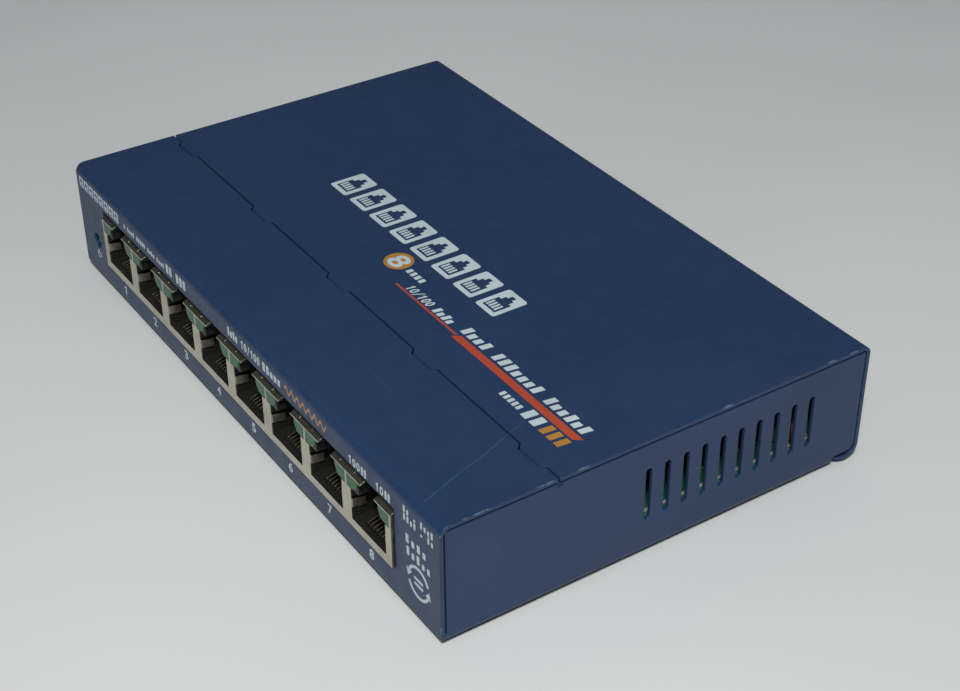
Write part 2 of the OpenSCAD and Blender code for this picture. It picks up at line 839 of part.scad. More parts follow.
resistor_packs();
input_fuse();
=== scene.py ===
"""Looks of the desktop network switch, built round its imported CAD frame."""
import json
import math
import random

import bmesh
import bpy
from mathutils import Matrix, Vector


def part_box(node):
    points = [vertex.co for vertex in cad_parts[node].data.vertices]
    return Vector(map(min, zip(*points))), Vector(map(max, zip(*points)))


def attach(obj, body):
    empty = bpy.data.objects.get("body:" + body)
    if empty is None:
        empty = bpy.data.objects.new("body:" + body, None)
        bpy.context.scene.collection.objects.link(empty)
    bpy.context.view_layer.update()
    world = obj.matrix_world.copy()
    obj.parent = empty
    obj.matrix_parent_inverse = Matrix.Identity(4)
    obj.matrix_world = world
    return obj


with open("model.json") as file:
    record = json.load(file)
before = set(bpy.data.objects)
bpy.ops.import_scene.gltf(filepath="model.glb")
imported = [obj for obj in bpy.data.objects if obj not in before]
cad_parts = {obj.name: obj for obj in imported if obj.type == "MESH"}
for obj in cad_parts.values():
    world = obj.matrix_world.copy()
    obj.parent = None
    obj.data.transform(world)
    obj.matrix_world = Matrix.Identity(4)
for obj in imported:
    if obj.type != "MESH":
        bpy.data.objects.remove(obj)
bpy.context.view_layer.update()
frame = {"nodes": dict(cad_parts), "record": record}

MM = 0.001

case_low, case_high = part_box("chassis_base")
LEFT, FRONT, BOTTOM, TOP = case_low.x, case_low.y, case_low.z, case_high.z
RIGHT = case_high.x
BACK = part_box("top_cover")[1].y


# ---------------------------------------------------------------- camera, light, floor

# The camera's place is in millimetres from the case's left front lower corner
CAMERA_FROM_CORNER = (357.37, -122.63, 224.77)
CAMERA_TURN = 56.645
CAMERA_DOWN = 34.29
CAMERA_ROLL = -0.297
CAMERA_LENS = 66.69

# The key light's place and size and half the floor's side are in metres, its power is in watts
KEY_AT = (0.42, -0.28, 0.64)
KEY_SIZE = 0.12
KEY_POWER = 4.6
KEY_COLOUR = (1, 0.99, 0.97)
SKY_COLOUR = (0.86, 0.94, 1.0, 1)
SKY_AT_HORIZON = 0.02
SKY_OVERHEAD = 0.24
FLOOR_HALF = 2


def make_camera():
    data = bpy.data.cameras.new("camera")
    data.lens = CAMERA_LENS
    data.clip_start, data.clip_end = 0.01, 20
    camera = bpy.data.objects.new("camera", data)
    camera.matrix_world = (
        Matrix.Translation(Vector((LEFT, FRONT, BOTTOM)) + Vector(CAMERA_FROM_CORNER) * MM)
        @ Matrix.Rotation(math.radians(CAMERA_TURN), 4, "Z")
        @ Matrix.Rotation(math.radians(90 - CAMERA_DOWN), 4, "X")
        @ Matrix.Rotation(math.radians(CAMERA_ROLL), 4, "Z")
    )
    bpy.context.scene.collection.objects.link(camera)
    bpy.context.scene.camera = camera


def make_key_light():
    """A small disk above the camera, aimed at the origin."""
    data = bpy.data.lights.new("key", "AREA")
    data.shape = "DISK"
    data.size = KEY_SIZE
    data.energy = KEY_POWER
    data.color = KEY_COLOUR
    light = bpy.data.objects.new("key", data)
    light.location = KEY_AT
    light.rotation_euler = (-Vector(KEY_AT)).to_track_quat("-Z", "Y").to_euler()
    bpy.context.scene.collection.objects.link(light)


def make_room():
    """A dim room, brighter overhead than at the horizon."""
    scene = bpy.context.scene
    scene.view_settings.view_transform = "Standard"
    world = bpy.data.worlds.new("studio")
    world.use_nodes = True
    tree = world.node_tree
    sky = tree.nodes["Background"]
    sky.inputs["Color"].default_value = SKY_COLOUR
    split = tree.nodes.new("ShaderNodeSeparateXYZ")
    tree.links.new(tree.nodes.new("ShaderNodeTexCoord").outputs["Generated"], split.inputs[0])
    rise = tree.nodes.new("ShaderNodeMapRange")
    rise.inputs["To Min"].default_value = SKY_AT_HORIZON
    rise.inputs["To Max"].default_value = SKY_OVERHEAD
    tree.links.new(split.outputs["Z"], rise.inputs["Value"])
    tree.links.new(rise.outputs[0], sky.inputs["Strength"])
    scene.world = world


def make_floor(look):
    data = bpy.data.meshes.new("floor")
    corners = [(sx * FLOOR_HALF, sy * FLOOR_HALF, 0) for sx, sy in ((-1, -1), (1, -1), (1, 1), (-1, 1))]
    data.from_pydata(corners, [], [(0, 1, 2, 3)])
    data.materials.append(look)
    floor = bpy.data.objects.new("floor", data)
    bpy.context.scene.collection.objects.link(floor)


# ---------------------------------------------------------------- materials

class Look:
    """One procedural material. Its textures measure in millimetres."""

    def __init__(self, name):
        self.material = bpy.data.materials.new(name)
        self.material.use_nodes = True
        self.tree = self.material.node_tree
        self.tree.nodes.clear()
        out = self.tree.nodes.new("ShaderNodeOutputMaterial")
        self.shader = self.tree.nodes.new("ShaderNodeBsdfPrincipled")
        self.tree.links.new(self.shader.outputs[0], out.inputs["Surface"])
        place = self.tree.nodes.new("ShaderNodeTexCoord").outputs["Object"]
        self.at = self.node("VectorMath", 0, {0: place, "Scale": 1 / MM}, operation="SCALE")

    def plug(self, socket, value):
        if isinstance(value, bpy.types.NodeSocket):
            self.tree.links.new(value, socket)
        else:
            socket.default_value = value

    def node(self, kind, out, sockets, **settings):
        made = self.tree.nodes.new("ShaderNode" + kind)
        for key, value in settings.items():
            setattr(made, key, value)
        for key, value in sockets.items():
            self.plug(made.inputs[key], value)
        return made.outputs[out]

    def finish(self, **sockets):
        for key, value in sockets.items():
            self.plug(self.shader.inputs[key.replace("_", " ")], value)
        return self.material

    def maths(self, operation, a, b=0.0):
        return self.node("Math", 0, {0: a, 1: b}, operation=operation)

    def times(self, a, b):
        return self.maths("MULTIPLY", a, b)

    def plus(self, a, b):
        return self.maths("ADD", a, b)

    def minus(self, a, b):
        return self.maths("SUBTRACT", a, b)

    def size(self, a):
        return self.maths("ABSOLUTE", a)

    def less(self, a, b):
        return self.maths("LESS_THAN", a, b)

    def more(self, a, b):
        return self.maths("GREATER_THAN", a, b)

    def either(self, a, b):
        return self.maths("MAXIMUM", a, b)

    def spread(self, value, low, high, to_low=0.0, to_high=1.0):
        """A smooth step from one range to another."""
        sockets = {"Value": value, "From Min": low, "From Max": high, "To Min": to_low, "To Max": to_high}
        return self.node("MapRange", 0, sockets, interpolation_type="SMOOTHSTEP")

    def axis(self, which, at=None):
        """One coordinate of the point, or of another vector: 0, 1 or 2."""
        return self.node("SeparateXYZ", which, {0: at or self.at})

    def normal(self):
        return self.tree.nodes.new("ShaderNodeNewGeometry").outputs["Normal"]

    def stretch(self, scale, turn=0.0):
        sockets = {"Vector": self.at, "Scale": scale, "Rotation": (0, 0, math.radians(turn))}
        return self.node("Mapping", 0, sockets)

    def noise(self, size, detail=2.0, roughness=0.5, at=None):
        """Noise whose lumps are about that many millimetres across."""
        sockets = {"Vector": at or self.at, "Scale": 1 / size, "Detail": detail, "Roughness": roughness}
        return self.node("TexNoise", "Fac", sockets)

    def cells(self, size):
        """Distance to the nearest of random points, in shares of their spacing."""
        return self.node("TexVoronoi", "Distance", {"Vector": self.at, "Scale": 1 / size})

    def mix(self, share, a, b):
        made = self.tree.nodes.new("ShaderNodeMix")
        made.data_type = "RGBA"
        for socket, value in ((0, share), (6, a), (7, b)):
            self.plug(made.inputs[socket], value)
        return made.outputs[2]

    def rounded(self, radius):
        """The normal as if every edge had that radius, in millimetres."""
        return self.node("Bevel", 0, {"Radius": radius * MM}, samples=6)

    def edges(self, radius):
        """1 along the edges that rounded() turns, 0 on flat faces."""
        sockets = {0: self.rounded(radius), 1: self.normal()}
        along = self.node("VectorMath", "Value", sockets, operation="DOT_PRODUCT")
        return self.spread(self.minus(1.0, along), 0.02, 0.25)

    def bump(self, height, depth, normal=None):
        """Bump from a 0 to 1 height that is depth millimetres deep."""
        sockets = {"Height": height, "Distance": depth * MM}
        if normal is not None:
            sockets["Normal"] = normal
        return self.node("Bump", 0, sockets)


def shade(tone, share=1.0):
    """A colour socket's value: the tone, darker or lighter by that share."""
    return tuple(share * part for part in tone) + (1,)


# Chipped stretches of the case's right upper edge, in millimetres:
# middle from the front, half length, depth
CHIPS = ((0.6, 1.6, 0.45), (5.5, 1.0, 0.25), (8.5, 2.6, 0.34), (22.6, 2.6, 0.42), (31, 2.2, 0.36),
         (64.5, 1.8, 0.36), (90.5, 1.6, 0.36), (96.5, 1.4, 0.30))
# And of its front right edge: middle above the bottom, half length, depth
RIM_CHIPS = ((3.4, 1.0, 0.3), (26, 1.3, 0.5))
# A fine scratch across the right end of the top, in millimetres from the left and from the front
SCRATCH = ((140.5, 30), (143, 22.9), (150, 2))
SCRATCH_WIDTH = 0.09
NAVY = (0.0150, 0.0400, 0.1080, 1)
NAVY_CLOUD = (0.0175, 0.0450, 0.1180, 1)
NAVY_DUSTY = (0.027, 0.056, 0.125, 1)
NAVY_RUBBED = (0.030, 0.070, 0.160, 1)
NAVY_SCUFFED = (0.08, 0.13, 0.22, 1)
BARE_EDGE = (0.10, 0.175, 0.27, 1)
SCRATCHED = (0.11, 0.25, 0.33, 1)


def near(look, value, middle, half):
    """1 at the middle, falling to 0 at half away from it."""
    gap = look.size(look.minus(value, middle))
    return look.spread(gap, half, half * 0.3)


def chipped(look, along, off, stretches, ragged):
    """A mask of the paint lost along an edge: off is how far a point is from it."""
    depth = None
    for middle, half, most in stretches:
        here = look.times(near(look, along, middle, half), most)
        depth = here if depth is None else look.either(depth, here)
    return look.spread(look.minus(look.times(depth, ragged), off), -0.06, 0.14)


def scratch(look, start, end):
    """A mask along a fine line on the top of the case between two points in case millimetres."""
    start, end = Vector(start), Vector(end)
    run = end - start
    x = look.minus(look.axis(0), LEFT / MM + start.x)
    y = look.minus(look.axis(1), FRONT / MM + start.y)
    ux, uy = run.normalized()
    along = look.plus(look.times(x, ux), look.times(y, uy))
    off = look.plus(look.times(x, -uy), look.times(y, ux))
    wobble = look.spread(look.noise(5.0, 1.0), 0.2, 0.8, -0.2, 0.2)
    line = look.spread(look.size(look.plus(off, wobble)), SCRATCH_WIDTH, SCRATCH_WIDTH * 0.35)
    inside = look.times(look.more(along, 0.0), look.less(along, run.length))
    return look.times(line, inside)


def powder_coat():
    look = Look("navy_powder_coat")
    x, y, z = (look.axis(i) for i in range(3))
    soft = look.rounded(0.28)
    edge = look.edges(0.5)
    cloud = look.noise(38, 3.0)
    mottle = look.noise(4.5, 3.0, 0.6)
    grain = look.noise(0.42, 2.0, 0.6)
    peel = look.noise(1.3, 1.0)

    base = look.mix(look.spread(cloud, 0.3, 0.7), NAVY, NAVY_CLOUD)
    base = look.mix(look.times(look.spread(mottle, 0.35, 0.75), 0.3), base, NAVY_DUSTY)

    from_front = look.minus(y, FRONT / MM)
    from_right = look.minus(RIGHT / MM, x)
    below_top = look.minus(TOP / MM, z)
    above_bottom = look.minus(z, BOTTOM / MM)
    ragged = look.spread(look.noise(0.8, 2.0, 0.6, at=look.stretch((1, 0.45, 1))), 0.3, 0.7, 0.15, 1.1)
    chip = look.either(
        chipped(look, from_front, look.plus(from_right, below_top), CHIPS, ragged),
        chipped(look, above_bottom, look.plus(from_right, from_front), RIM_CHIPS, ragged))
    fleck = look.spread(look.noise(0.8, 2.0, 0.8, at=look.stretch((1, 1, 1), 31)), 0.76, 0.79)
    line = look.either(scratch(look, SCRATCH[0], SCRATCH[1]), scratch(look, SCRATCH[1], SCRATCH[2]))
    line = look.times(line, look.spread(look.noise(2.2, 2.0), 0.25, 0.6, 0.25, 1))
    hair = look.noise(7, 2.0, 0.5, at=look.stretch((0.12, 9, 1), 24))
    hair = look.times(look.spread(hair, 0.72, 0.76), 0.12)

    colour = look.mix(look.times(edge, 0.25), base, NAVY_RUBBED)
    colour = look.mix(hair, colour, NAVY_SCUFFED)
    colour = look.mix(look.times(line, 0.45), colour, SCRATCHED)
    colour = look.mix(look.either(chip, look.times(fleck, 0.2)), colour, BARE_EDGE)

    rough = look.spread(mottle, 0.2, 0.8, 0.38, 0.48)
    rough = look.minus(rough, look.times(edge, 0.06))
    height = look.plus(look.times(grain, 0.5), look.times(peel, 0.9))
    height = look.minus(height, look.either(look.times(chip, 0.5), look.times(line, 0.7)))
    return look.finish(
        Base_Color=colour, Roughness=rough, IOR=1.42,
        Normal=look.bump(height, 0.012, soft))


def tin_plate():
    """Tin plate, darkened by painted shade where it faces up."""
    look = Look("dull_tin_plate")
    soft = look.rounded(0.1)
    rub = look.noise(1.6, 3.0, 0.6, at=look.stretch((3.5, 1, 1)))
    stain = look.noise(5, 3.0, 0.6)
    fine = look.noise(0.25, 2.0, 0.6, at=look.stretch((6, 1, 0.7)))
    colour = look.mix(look.spread(stain, 0.3, 0.75), (0.56, 0.53, 0.45, 1), (0.44, 0.405, 0.33, 1))
    colour = look.mix(look.times(look.spread(rub, 0.55, 0.7), 0.4), colour, (0.60, 0.58, 0.51, 1))
    # Painted shade: faces that point up are mixed towards a dark olive. This stands in for the dark
    # reflection on the shield's upper slopes.
    up = look.axis(2, look.normal())
    colour = look.mix(look.times(look.spread(up, 0.2, 0.6), 0.8), colour, (0.17, 0.155, 0.115, 1))
    return look.finish(
        Base_Color=colour, Metallic=1.0, Roughness=look.spread(rub, 0.25, 0.75, 0.26, 0.38),
        Normal=look.bump(fine, 0.004, soft))


def black_plastic():
    look = Look("black_moulded_plastic")
    soft = look.rounded(0.12)
    spark = look.noise(0.3, 2.0, 0.6)
    dust = look.spread(look.noise(1.1, 4.0, 0.7), 0.55, 0.8)
    colour = look.mix(look.times(dust, 0.35), (0.014, 0.0145, 0.013, 1), (0.070, 0.071, 0.060, 1))
    return look.finish(
        Base_Color=colour, Roughness=look.spread(dust, 0, 1, 0.46, 0.7), Normal=look.bump(spark, 0.008, soft))


def lamp_plastic():
    look = Look("green_lamp_plastic")
    soft = look.rounded(0.2)
    swirl = look.noise(1.4, 2.0)
    colour = look.mix(look.spread(swirl, 0.3, 0.7), (0.010, 0.112, 0.040, 1), (0.018, 0.150, 0.055, 1))
    return look.finish(
        Base_Color=colour, Roughness=look.spread(swirl, 0.2, 0.8, 0.28, 0.42),
        Transmission_Weight=0.1, IOR=1.46,
        Normal=look.bump(look.noise(0.5, 2.0), 0.006, soft))


def gold_flash():
    look = Look("gold_wire_painted_shade")
    # Painted shade: both gold tones are far darker than gold flash and stand in for the shade inside the
    # ports. The noise mixes the two tones at random.
    wear = look.noise(0.6, 3.0)
    colour = look.mix(look.spread(wear, 0.4, 0.7), (0.060, 0.048, 0.028, 1), (0.038, 0.032, 0.022, 1))
    return look.finish(Base_Color=colour, Metallic=1.0, Roughness=look.spread(wear, 0.3, 0.8, 0.34, 0.52))


def bright_metal(name, tone, low, high, grain_size=0.4, lay=(1, 1, 1), metal=1.0):
    look = Look(name)
    brushed = look.noise(grain_size, 3.0, 0.6, at=look.stretch(lay))
    blotch = look.noise(3.0, 2.0)
    colour = look.mix(look.spread(blotch, 0.3, 0.7), shade(tone), shade(tone, 0.8))
    return look.finish(
        Base_Color=colour, Metallic=metal, Roughness=look.spread(brushed, 0.3, 0.7, low, high),
        Normal=look.bump(brushed, 0.004, look.rounded(0.08)))


def foot_rubber():
    look = Look("foot_rubber")
    speck = look.noise(0.35, 3.0, 0.7)
    dust = look.spread(look.noise(2.5, 3.0), 0.5, 0.75)
    colour = look.mix(look.times(dust, 0.4), (0.016, 0.016, 0.017, 1), (0.06, 0.058, 0.055, 1))
    return look.finish(
        Base_Color=colour, Roughness=look.spread(speck, 0.2, 0.8, 0.66, 0.88),
        Normal=look.bump(speck, 0.03, look.rounded(0.25)))


def moulded(name, tone, low=0.45, high=0.65, pit=0.25, depth=0.01):
    look = Look(name)
    pits = look.noise(pit, 2.0, 0.6)
    cast = look.noise(3.5, 2.0)
    colour = look.mix(look.spread(cast, 0.3, 0.7), shade(tone), shade(tone, 1.25))
    return look.finish(
        Base_Color=colour, Roughness=look.spread(pits, 0.3, 0.7, low, high),
        Normal=look.bump(pits, depth, look.rounded(0.12)))


# The board's tracks run one of three ways in each square tile: its side, their pitch, in millimetres,
# and the share of the pitch that is copper. A via's pad and drill are in shares of the vias' spacing.
TRACK_TILE = 5.2
TRACK_PITCH = 0.64
TRACK_SHARE = 0.34
VIA_SPACING = 3.1
VIA_PAD = 0.13
VIA_DRILL = 0.055
DIAGONAL = 0.7071


def board_laminate():
    """Solder resist over bundles of copper tracks, with vias, and the bare laminate at the cut edges."""
    look = Look("circuit_board")
    x, y = look.axis(0), look.axis(1)
    tiled = look.stretch((1 / TRACK_TILE, 1 / TRACK_TILE, 0))
    tile = look.node("VectorMath", 0, {0: tiled}, operation="FLOOR")
    pick = look.node("TexWhiteNoise", "Value", {"Vector": tile}, noise_dimensions="2D")

    def tracks(value):
        wave = look.maths("FRACT", look.times(value, 1 / TRACK_PITCH))
        return look.less(look.size(look.minus(wave, 0.5)), TRACK_SHARE / 2)

    flat = look.times(tracks(y), look.less(pick, 0.42))
    cross = look.times(tracks(x), look.more(pick, 0.58))
    slanted = look.times(look.more(pick, 0.42), look.less(pick, 0.58))
    slant = look.times(tracks(look.times(look.plus(x, y), DIAGONAL)), slanted)
    present = look.more(look.noise(9, 2.0), 0.46)
    copper = look.times(look.either(look.either(flat, cross), slant), present)
    pour = look.more(look.noise(26, 2.0), 0.57)
    copper = look.either(copper, pour)

    hole = look.cells(VIA_SPACING)
    ring = look.times(look.less(hole, VIA_PAD), look.more(hole, VIA_DRILL))
    drill = look.less(hole, VIA_DRILL)

    mask = look.mix(copper, (0.015, 0.105, 0.065, 1), (0.03, 0.17, 0.105, 1))
    mask = look.mix(look.times(ring, 0.75), mask, (0.40, 0.42, 0.36, 1))
    mask = look.mix(drill, mask, (0.004, 0.01, 0.008, 1))
    side = look.less(look.size(look.axis(2, look.normal())), 0.5)
    layers = look.spread(look.noise(0.2, 2.0, at=look.stretch((0.3, 0.3, 6))), 0.3, 0.7)
    bare = look.mix(layers, (0.16, 0.20, 0.09, 1), (0.26, 0.28, 0.14, 1))
    height = look.plus(look.times(copper, 0.7), look.times(ring, 0.4))
    return look.finish(
        Base_Color=look.mix(side, mask, bare), Roughness=look.spread(side, 0, 1, 0.27, 0.75),
        Normal=look.bump(height, 0.03))


def capacitor_sleeve():
    """A dark blue shrink sleeve with a pale stripe down one side, open over the aluminium top."""
    look = Look("capacitor_sleeve")
    facing = look.normal()
    stripe = look.less(look.axis(1, facing), -0.88)
    wrinkle = look.noise(0.9, 3.0, at=look.stretch((1, 1, 0.3)))
    sleeve = look.mix(stripe, (0.008, 0.011, 0.045, 1), (0.42, 0.44, 0.48, 1))
    top = look.more(look.axis(2, facing), 0.6)
    metal = look.mix(look.noise(1.5, 2.0), (0.5, 0.5, 0.52, 1), (0.62, 0.62, 0.63, 1))
    return look.finish(
        Base_Color=look.mix(top, sleeve, metal), Metallic=look.times(top, 0.95),
        Roughness=look.spread(wrinkle, 0.3, 0.7, 0.25, 0.42), Normal=look.bump(wrinkle, 0.03))


def copper_wire():
    look = Look("enamelled_copper")
    strand = look.noise(0.35, 2.0)
    colour = look.mix(look.spread(strand, 0.3, 0.7), (0.42, 0.13, 0.04, 1), (0.62, 0.24, 0.08, 1))
    return look.finish(
        Base_Color=colour, Metallic=0.85, Roughness=look.spread(strand, 0.3, 0.7, 0.2, 0.36), Coat_Weight=0.4,
        Normal=look.bump(strand, 0.02))


def printed(name, tone, wear=0.5):
    """Screen-printed ink, a little broken where it is thin."""
    look = Look(name)
    thin = look.noise(0.5, 3.0, 0.7)
    dull = look.noise(6, 2.0)
    colour = look.mix(look.spread(dull, 0.3, 0.7), shade(tone), shade(tone, 0.9))
    colour = look.mix(look.times(look.spread(thin, 0.62, 0.8), wear), colour, shade(tone, 0.55))
    return look.finish(
        Base_Color=colour, Roughness=look.spread(thin, 0.2, 0.8, 0.4, 0.55), Normal=look.bump(thin, 0.006))


def label_stock():
    look = Look("label_stock")
    fibre = look.noise(0.4, 3.0, 0.6)
    tone = look.mix(look.spread(look.noise(9, 2.0), 0.3, 0.7), (0.60, 0.61, 0.62, 1), (0.66, 0.665, 0.67, 1))
    return look.finish(
        Base_Color=tone, Roughness=look.spread(fibre, 0.2, 0.8, 0.38, 0.5), Normal=look.bump(fibre, 0.006))


def resistor_body():
    """Dark speckled ceramic."""
    look = Look("ceramic_chip_part")
    speck = look.noise(0.3, 2.0)
    return look.finish(
        Base_Color=look.mix(look.spread(speck, 0.3, 0.7), (0.02, 0.02, 0.022, 1), (0.04, 0.04, 0.045, 1)),
        Roughness=look.spread(speck, 0.3, 0.7, 0.3, 0.5), Normal=look.bump(speck, 0.01, look.rounded(0.08)))


def studio_paper():
    look = Look("studio_paper")
    broad = look.noise(160, 2.0)
    tooth = look.noise(1.2, 3.0, 0.6)
    colour = look.mix(look.spread(broad, 0.3, 0.7), (0.74, 0.76, 0.755, 1), (0.79, 0.805, 0.80, 1))
    return look.finish(Base_Color=colour, Roughness=0.85, Normal=look.bump(tooth, 0.02))


def make_looks():
    """The look of each of the record's material slots."""
    return {
        "navy_paint": powder_coat(),
        "screw_steel": bright_metal("zinc_plated_steel", (0.56, 0.57, 0.60), 0.24, 0.4, 0.5),
        "foot_rubber": foot_rubber(),
        "label_film": label_stock(),
        "insulator_film": moulded("insulator_film", (0.02, 0.02, 0.021), 0.3, 0.4, 2.0),
        "board_laminate": board_laminate(),
        "black_moulding": black_plastic(),
        "tinned_shield": tin_plate(),
        "gold_wire": gold_flash(),
        "lamp_lens": lamp_plastic(),
        "chip_package": moulded("chip_package", (0.017, 0.017, 0.018)),
        "tinned_pins": bright_metal("tinned_pins", (0.62, 0.61, 0.58), 0.25, 0.42),
        "thermal_pad_grey": moulded("thermal_pad", (0.42, 0.42, 0.43), 0.6, 0.8, 0.6),
        "sink_aluminium": bright_metal(
            "black_anodised", (0.045, 0.045, 0.05), 0.35, 0.5, grain_size=0.3, lay=(1, 0.1, 1)),
        "capacitor_sleeve": capacitor_sleeve(),
        "ferrite": moulded("ferrite", (0.05, 0.055, 0.05), 0.5, 0.7, 0.5, 0.03),
        "copper_wire": copper_wire(),
        "resistor_ceramic": resistor_body(),
    }


def dress_frame(looks):
    """Gives every CAD node the look of its slot."""
    slots = {part["node"]: part["material_slot"] for part in frame["record"]["subparts"]}
    for name, node in frame["nodes"].items():
        node.data.materials.clear()
        node.data.materials.append(looks[slots[name]])


# ---------------------------------------------------------------- added pieces

def add_piece(name, shape, look, body):
    """Makes a piece from a bmesh, in metres in the CAD's frame."""
    data = bpy.data.meshes.new(name)
    shape.to_mesh(data)
    shape.free()
    data.materials.append(look)
    piece = bpy.data.objects.new(name, data)
    bpy.context.scene.collection.objects.link(piece)
    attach(piece, body)


def arc(x, y, r, start, end, steps=24):
    """Points from one angle to another, in degrees."""
    angles = (math.radians(start + (end - start) * k / steps) for k in range(steps + 1))
    return [(x + r * math.cos(a), y + r * math.sin(a)) for a in angles]


def box(x0, y0, x1, y1, r=0.0, lean=0.0):
    """A rectangle, its corners rounded by r and its upper side shifted right by lean times its height."""
    if r == 0:
        points = [(x0, y0), (x1, y0), (x1, y1), (x0, y1)]
    else:
        points = (arc(x1 - r, y0 + r, r, -90, 0, 4) + arc(x1 - r, y1 - r, r, 0, 90, 4)
                  + arc(x0 + r, y1 - r, r, 90, 180, 4) + arc(x0 + r, y0 + r, r, 180, 270, 4))
    return [(x + lean * (y - y0), y) for x, y in points]


def band(x, y, r, width, start, end):
    """Part of a ring."""
    return arc(x, y, r + width / 2, start, end) + arc(x, y, r - width / 2, end, start)


def arrow(x, y, angle, size):
    """A triangle that points along the angle."""
    return arc(x, y, size, angle, angle + 240, 2)


# Marks given as outlines, in shares of a numeral's width and height
DRAWN_MARKS = {
    "1": ((0.30, 0), (0.56, 0), (0.56, 1), (0.36, 1), (0.08, 0.80), (0.08, 0.62), (0.30, 0.74)),
    "/": ((0, -0.08), (0.2, -0.08), (0.8, 1.08), (0.6, 1.08)),
}


# A pictogram socket, in shares of its size: its opening's lower edge and right side, its contacts' middles
SOCKET_STEPS = ((0.17, 0.13), (0.83, 0.13), (0.83, 0.60), (0.70, 0.60), (0.70, 0.74), (0.60, 0.74),
                (0.60, 0.87))
SOCKET_CONTACTS = (0.27, 0.41, 0.55, 0.69)
# How much of its cell a numeral fills, and how far its outline is thickened, in shares of its size
NUMERAL_SHARE = 0.8
NUMERAL_WEIGHT = 0.022
BLOCK_CORNER = 0.12


class Print:
    """Ink on one flat face, drawn in millimetres along that face's own two axes."""

    def __init__(self, name, look, body, origin, right, up, proud=0.03):
        self.name, self.look, self.body, self.proud = name, look, body, proud
        right, up = Vector(right), Vector(up)
        turn = Matrix((right, up, right.cross(up))).transposed().to_4x4()
        self.place = Matrix.Translation(origin) @ turn @ Matrix.Scale(MM, 4)
        self.solid = bmesh.new()
        self.curve = bpy.data.curves.new(name, "CURVE")

    def shape(self, points):
        spline = self.curve.splines.new("POLY")
        spline.points.add(len(points) - 1)
        spline.use_cyclic_u = True
        for point, (x, y) in zip(spline.points, points):
            point.co = (x, y, 0, 1)

    def fill(self, curve):
        """The filled curve as a mesh, standing as far out of the face as into it."""
        if curve.bl_rna.identifier != "TextCurve":
            curve.dimensions = "2D"
        curve.fill_mode = "BOTH"
        curve.extrude = self.proud
        holder = bpy.data.objects.new(self.name, curve)
        mesh = bpy.data.meshes.new_from_object(holder)
        bpy.data.objects.remove(holder)
        bpy.data.curves.remove(curve)
        return mesh

    def take(self, mesh):
        self.solid.from_mesh(mesh)
        bpy.data.meshes.remove(mesh)

    def glyph(self, mark, left, low, right, high, lean):
        """One numeral, thickened and stretched to fill a box."""
        text = bpy.data.curves.new(self.name, "FONT")
        text.body = mark
        text.offset = NUMERAL_WEIGHT
        mesh = self.fill(text)
        xs = [v.co.x for v in mesh.vertices]
        ys = [v.co.y for v in mesh.vertices]
        wide, tall = (right - left) / (max(xs) - min(xs)), (high - low) / (max(ys) - min(ys))
        for v in mesh.vertices:
            y = (v.co.y - min(ys)) * tall
            v.co.x = left + (v.co.x - min(xs)) * wide + lean * y
            v.co.y = low + y
        self.take(mesh)

    def numbers(self, body, left, low, right, high, lean=0.0):
        """Numerals side by side in a box."""
        cell = (right - left) / len(body)
        tall = high - low
        for k, mark in enumerate(body):
            x = left + k * cell
            if mark in DRAWN_MARKS:
                outline = DRAWN_MARKS[mark]
                self.shape([(x + u * cell + lean * v * tall, low + v * tall) for u, v in outline])
            else:
                self.glyph(mark, x, low, x + NUMERAL_SHARE * cell, high, lean)

    def bars(self, left, right, low, heights, lean=0.0, share=0.66):
        """A row of small blocks that stands in for a line of small print."""
        pitch = (right - left) / len(heights)
        for k, height in enumerate(heights):
            if height:
                x = left + k * pitch
                self.shape(box(x, low, x + pitch * share, low + height, BLOCK_CORNER, lean))

    def socket(self, x, y, w, h):
        """A network socket seen from the front: a frame, a stepped opening and its contacts."""
        opening = list(SOCKET_STEPS) + [(1 - u, v) for u, v in reversed(SOCKET_STEPS)]
        self.shape(box(x, y, x + w, y + h, 0.1 * w))
        self.shape([(x + u * w, y + v * h) for u, v in opening])
        for u in SOCKET_CONTACTS:
            self.shape(box(x + (u - 0.04) * w, y + 0.19 * h, x + (u + 0.04) * w, y + 0.44 * h))

    def done(self):
        """Makes the piece from all that was drawn."""
        if self.curve.splines:
            self.take(self.fill(self.curve))
        self.solid.transform(self.place)
        add_piece(self.name, self.solid, self.look, self.body)


# Heights of the blocks that stand in for the tall and the short letters of the widest line
TALL = 2.6
SHORT = 1.9
PORTS = 8
PORT_PITCH = 15.9


